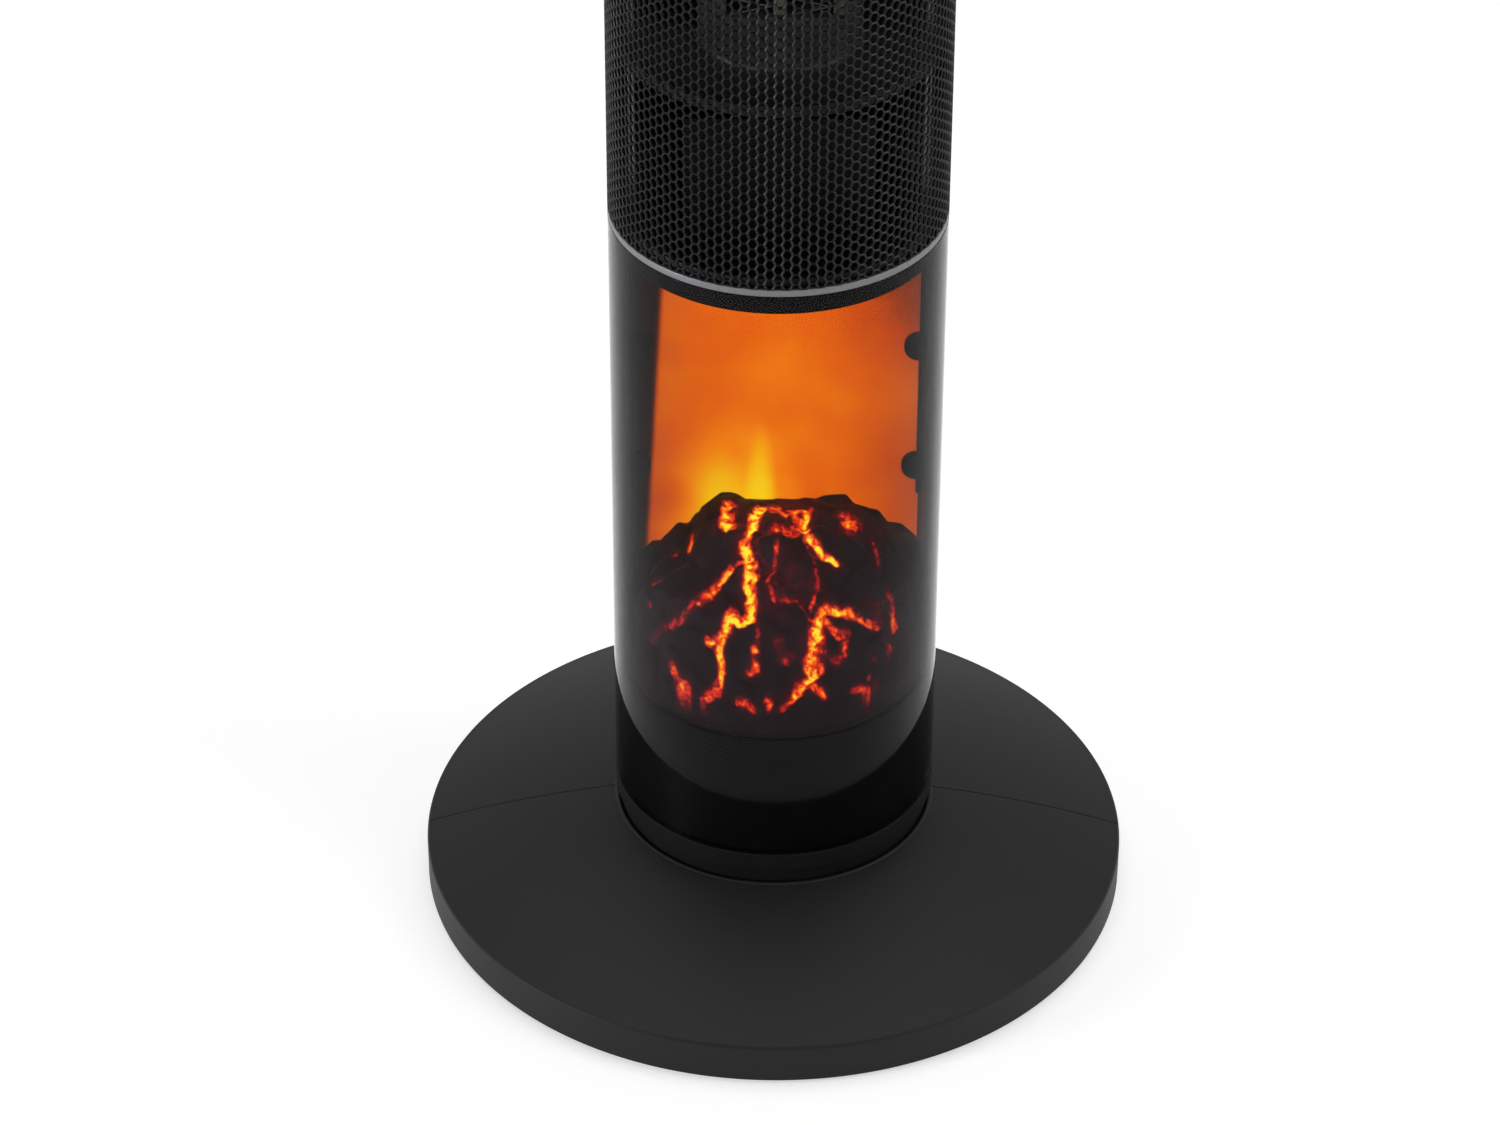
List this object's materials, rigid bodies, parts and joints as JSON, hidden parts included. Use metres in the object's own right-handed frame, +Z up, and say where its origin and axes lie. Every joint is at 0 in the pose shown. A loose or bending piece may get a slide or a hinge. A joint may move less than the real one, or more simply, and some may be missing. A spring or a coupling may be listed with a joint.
{
  "type": "ceramic tower fan heater",
  "caption": "Tall round fan heater: perforated sleeve over a clear tube with a lit ember scene, on a wide domed base that the tower swings on.",
  "frame": {"origin": "on the floor under the middle of the round base", "axes": "+Z up along the tower, -Y to the front, +X to the right as seen from the front"},
  "size_m": [0.287, 0.2872, 0.7812],
  "materials": {
    "base_abs": "fine moulded grain",
    "neck_abs": "satin",
    "foot_rubber": "matte",
    "zinc_steel": "zinc plated",
    "acetal": "satin",
    "motor_can": "plated",
    "tube_acrylic": "polished",
    "inner_black": "matte",
    "lava_resin": "rough cast",
    "screen_film": "frosted",
    "circuit_board": "soldered",
    "bright_foil": "bright",
    "silver_paint": "satin silver",
    "grille_steel": "satin black powder coat",
    "wheel_aluminium": "rolled",
    "heater_nylon": "glass filled",
    "heater_ceramic": "unglazed",
    "filter_mesh": "woven",
    "cap_abs": "fine moulded grain",
    "panel_gloss": "high gloss",
    "key_abs": "satin"
  },
  "bodies": {
    "base": {"base_front_half": "base_abs", "base_rear_half": "base_abs", "base_plate": "base_abs", "cord_gland": "foot_rubber", "rubber_feet": "foot_rubber", "base_screws": "zinc_steel", "pivot_hub": "neck_abs", "thrust_washer": "acetal", "fixed_gear": "acetal"},
    "tower": {"foot_ring": "neck_abs", "turntable": "neck_abs", "swing_bracket": "zinc_steel", "left_post": "zinc_steel", "right_post": "zinc_steel", "heat_shield": "zinc_steel", "shaft_bush": "acetal", "flicker_post": "acetal", "swing_motor": "motor_can", "flicker_motor": "motor_can", "blower_motor": "motor_can", "flame_tube": "tube_acrylic", "plinth_drum": "inner_black", "rear_liner": "inner_black", "screen_rails": "inner_black", "middle_deck": "inner_black", "blower_deck": "inner_black", "top_plate": "inner_black", "blower_scroll": "inner_black", "vortex_tongue": "inner_black", "upper_deck": "inner_black", "tilt_switch": "inner_black", "ember_bed": "lava_resin", "flame_screen": "screen_film", "ember_board": "circuit_board", "flame_strips": "circuit_board", "power_board": "circuit_board", "control_board": "circuit_board", "display_module": "circuit_board", "silver_ring": "silver_paint", "front_grille": "grille_steel", "rear_grille": "grille_steel", "heater_fins": "wheel_aluminium", "heater_frame": "heater_nylon", "thermal_cutout": "heater_nylon", "ceramic_bars": "heater_ceramic", "dust_filter": "filter_mesh", "top_cap": "cap_abs", "control_panel": "panel_gloss", "display_lens": "panel_gloss"},
    "pinion": {"swing_pinion": "acetal", "swing_shaft": "zinc_steel"},
    "blower": {"blower_wheel": "wheel_aluminium", "blower_shaft": "zinc_steel"},
    "flicker": {"flicker_rotor": "bright_foil"},
    "timer_key": {"timer_button": "key_abs"},
    "flame_key": {"flame_button": "key_abs"},
    "power_key": {"power_button": "key_abs"},
    "heat_key": {"heat_button": "key_abs"},
    "swing_key": {"swing_button": "key_abs"}
  },
  "joints": [
    {"name": "tower_swing", "type": "hinge", "parent": "base", "child": "tower", "pos_m": [0, 0, 0.044], "axis": [0, 0, 1], "range_deg": [-35, 35]},
    {"name": "pinion_spin", "type": "hinge", "parent": "tower", "child": "pinion", "pos_m": [0.0321, 0, 0.0573], "axis": [0, 0, 1], "range_deg": [-110, 110]},
    {"name": "blower_spin", "type": "hinge", "parent": "tower", "child": "blower", "pos_m": [0, 0.0359, 0.5155], "axis": [0, 0, 1], "continuous": true},
    {"name": "flicker_spin", "type": "hinge", "parent": "tower", "child": "flicker", "pos_m": [0, 0.04005, 0.2], "axis": [0, 0, 1], "continuous": true},
    {"name": "timer_press", "type": "slide", "parent": "tower", "child": "timer_key", "axis": [0, 0, -1], "range_m": [0, 0.001], "stiffness_N_per_m": 400},
    {"name": "flame_press", "type": "slide", "parent": "tower", "child": "flame_key", "axis": [0, 0, -1], "range_m": [0, 0.001], "stiffness_N_per_m": 400},
    {"name": "power_press", "type": "slide", "parent": "tower", "child": "power_key", "axis": [0, 0, -1], "range_m": [0, 0.001], "stiffness_N_per_m": 400},
    {"name": "heat_press", "type": "slide", "parent": "tower", "child": "heat_key", "axis": [0, 0, -1], "range_m": [0, 0.001], "stiffness_N_per_m": 400},
    {"name": "swing_press", "type": "slide", "parent": "tower", "child": "swing_key", "axis": [0, 0, -1], "range_m": [0, 0.001], "stiffness_N_per_m": 400}
  ],
  "couplings": [
    {"joint": "pinion_spin", "follows": "tower_swing", "ratio": 3}
  ]
}
